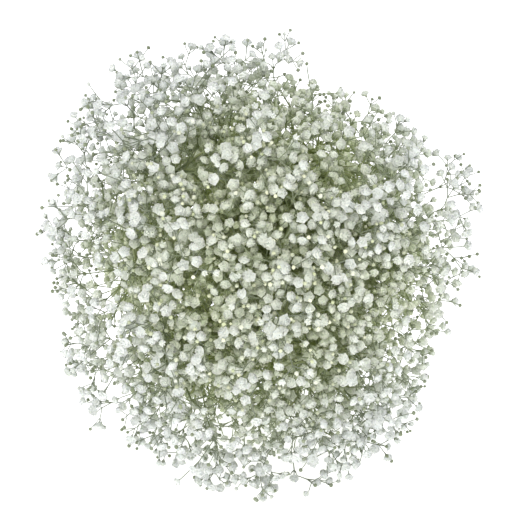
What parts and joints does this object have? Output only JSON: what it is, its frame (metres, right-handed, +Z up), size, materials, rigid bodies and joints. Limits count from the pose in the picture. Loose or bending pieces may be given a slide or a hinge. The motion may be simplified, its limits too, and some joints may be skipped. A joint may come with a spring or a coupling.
{
  "type": "gypsophila bunch",
  "caption": "Tied bunch of gypsophila lying on its side: slim green stems held by a rubber band, forking into a round, airy head of tiny white double flowers.",
  "frame": {"origin": "middle of the bunch's outline as seen from above, on the table that it lies on", "axes": "+Z up; +Y along the bunch from the crown of the flower head towards the cut ends; +X to the right as seen from in front of the crown"},
  "size_m": [0.3002, 0.5358, 0.2983],
  "materials": {
    "flowering_stem": "matte, green stems with white flowers",
    "stem_green": "matte, slightly waxy",
    "petal_white": "soft matte, thin and a little translucent",
    "band_rubber": "matte natural rubber"
  },
  "bodies": {
    "root": {"rubber_band": "band_rubber", "stem_1": "flowering_stem", "stem_2": "flowering_stem", "stem_3": "flowering_stem", "stem_4": "flowering_stem", "stem_5": "flowering_stem", "stem_6": "flowering_stem", "stem_7": "flowering_stem"}
  },
  "joints": []
}
